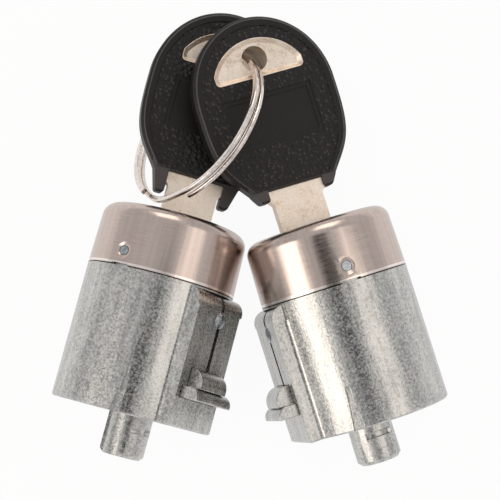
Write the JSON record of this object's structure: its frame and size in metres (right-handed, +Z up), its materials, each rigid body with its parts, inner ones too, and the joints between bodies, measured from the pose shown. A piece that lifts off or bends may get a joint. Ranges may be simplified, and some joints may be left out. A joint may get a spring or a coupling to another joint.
{
  "type": "lock cylinder",
  "caption": "Matched pair of vehicle lock cylinders with capped faces, sprung latches and turning plugs, each holding its key, with the keys joined on a split ring.",
  "frame": {"origin": "on the table under the middle of the set's outline", "axes": "+Z up from the table, +Y from the tails towards the key heads, +X to the right in the picture"},
  "size_m": [0.072, 0.0844, 0.0301],
  "materials": {
    "zinc casting": "bare zinc die casting, mottled grey with fine scratches",
    "stainless sheet": "satin, fine circular brushing",
    "steel pin": "ground",
    "spring steel": "drawn wire",
    "seal rubber": "soft black",
    "plug metal": "nickel plated",
    "wafer brass": "stamped",
    "key metal": "nickel plated, softly worn",
    "head plastic": "moulded, fine grain",
    "ring steel": "bright hardened wire"
  },
  "bodies": {
    "left_key": {"left_key_blade": "key metal", "left_key_head": "head plastic"},
    "left_plug": {"left_plug": "plug metal", "left_shutter": "stainless sheet", "left_wafer_1": "wafer brass", "left_wafer_2": "wafer brass", "left_wafer_3": "wafer brass", "left_wafer_4": "wafer brass", "left_wafer_5": "wafer brass", "left_wafer_6": "wafer brass", "left_wafer_7": "wafer brass", "left_wafer_8": "wafer brass", "left_wafer_springs": "spring steel", "left_shutter_pin": "steel pin", "left_shutter_spring": "spring steel"},
    "left_housing": {"left_housing": "zinc casting", "left_face_cap": "stainless sheet", "left_cap_pins": "steel pin", "left_face_seal": "seal rubber", "left_latch_spring": "spring steel", "left_detent_plug": "steel pin", "left_detent_ball": "steel pin", "left_detent_spring": "spring steel"},
    "left_latch": {"left_latch": "zinc casting"},
    "right_key": {"right_key_blade": "key metal", "right_key_head": "head plastic"},
    "right_plug": {"right_plug": "plug metal", "right_shutter": "stainless sheet", "right_wafer_1": "wafer brass", "right_wafer_2": "wafer brass", "right_wafer_3": "wafer brass", "right_wafer_4": "wafer brass", "right_wafer_5": "wafer brass", "right_wafer_6": "wafer brass", "right_wafer_7": "wafer brass", "right_wafer_8": "wafer brass", "right_wafer_springs": "spring steel", "right_shutter_pin": "steel pin", "right_shutter_spring": "spring steel"},
    "right_housing": {"right_housing": "zinc casting", "right_face_cap": "stainless sheet", "right_cap_pins": "steel pin", "right_face_seal": "seal rubber", "right_latch_spring": "spring steel", "right_detent_plug": "steel pin", "right_detent_ball": "steel pin", "right_detent_spring": "spring steel"},
    "right_latch": {"right_latch": "zinc casting"},
    "split_ring": {"split_ring": "ring steel"}
  },
  "joints": [
    {"name": "left_lock_pull", "type": "slide", "parent": "left_key", "child": "left_plug", "axis": [-0.2713, -0.9625, 0], "range_m": [0, 0.028]},
    {"name": "left_lock_turn", "type": "hinge", "parent": "left_plug", "child": "left_housing", "pos_m": [-0.02154, -0.03232, 0.01462], "axis": [0.2713, 0.9625, 0], "range_deg": [0, 90]},
    {"name": "left_latch_press", "type": "slide", "parent": "left_housing", "child": "left_latch", "axis": [-0.8072, 0.2275, -0.5446], "range_m": [0, 0.0035], "stiffness_N_per_m": 300, "springref_m": -0.002, "deforming": ["left_latch_spring"]},
    {"name": "key_fan", "type": "hinge", "parent": "left_key", "child": "right_key", "pos_m": [0.00175, 0.03214, 0.01969], "axis": [0.2221, -0.0174, 0.9749], "range_deg": [0, 20]},
    {"name": "right_lock_pull", "type": "slide", "parent": "right_key", "child": "right_plug", "axis": [0.2839, -0.9554, -0.0817], "range_m": [0, 0.028]},
    {"name": "right_lock_turn", "type": "hinge", "parent": "right_plug", "child": "right_housing", "pos_m": [0.02139, -0.03397, 0.01404], "axis": [-0.2839, 0.9554, 0.0817], "range_deg": [-45, 45]},
    {"name": "right_latch_press", "type": "slide", "parent": "right_housing", "child": "right_latch", "axis": [0.9328, 0.2949, -0.2072], "range_m": [0, 0.0035], "stiffness_N_per_m": 300, "springref_m": -0.002, "deforming": ["right_latch_spring"]},
    {"name": "ring_turn", "type": "hinge", "parent": "left_key", "child": "split_ring", "pos_m": [-0.00876, 0.02045, 0.01681], "axis": [-0.6764, 0.4163, 0.6076], "continuous": true}
  ]
}
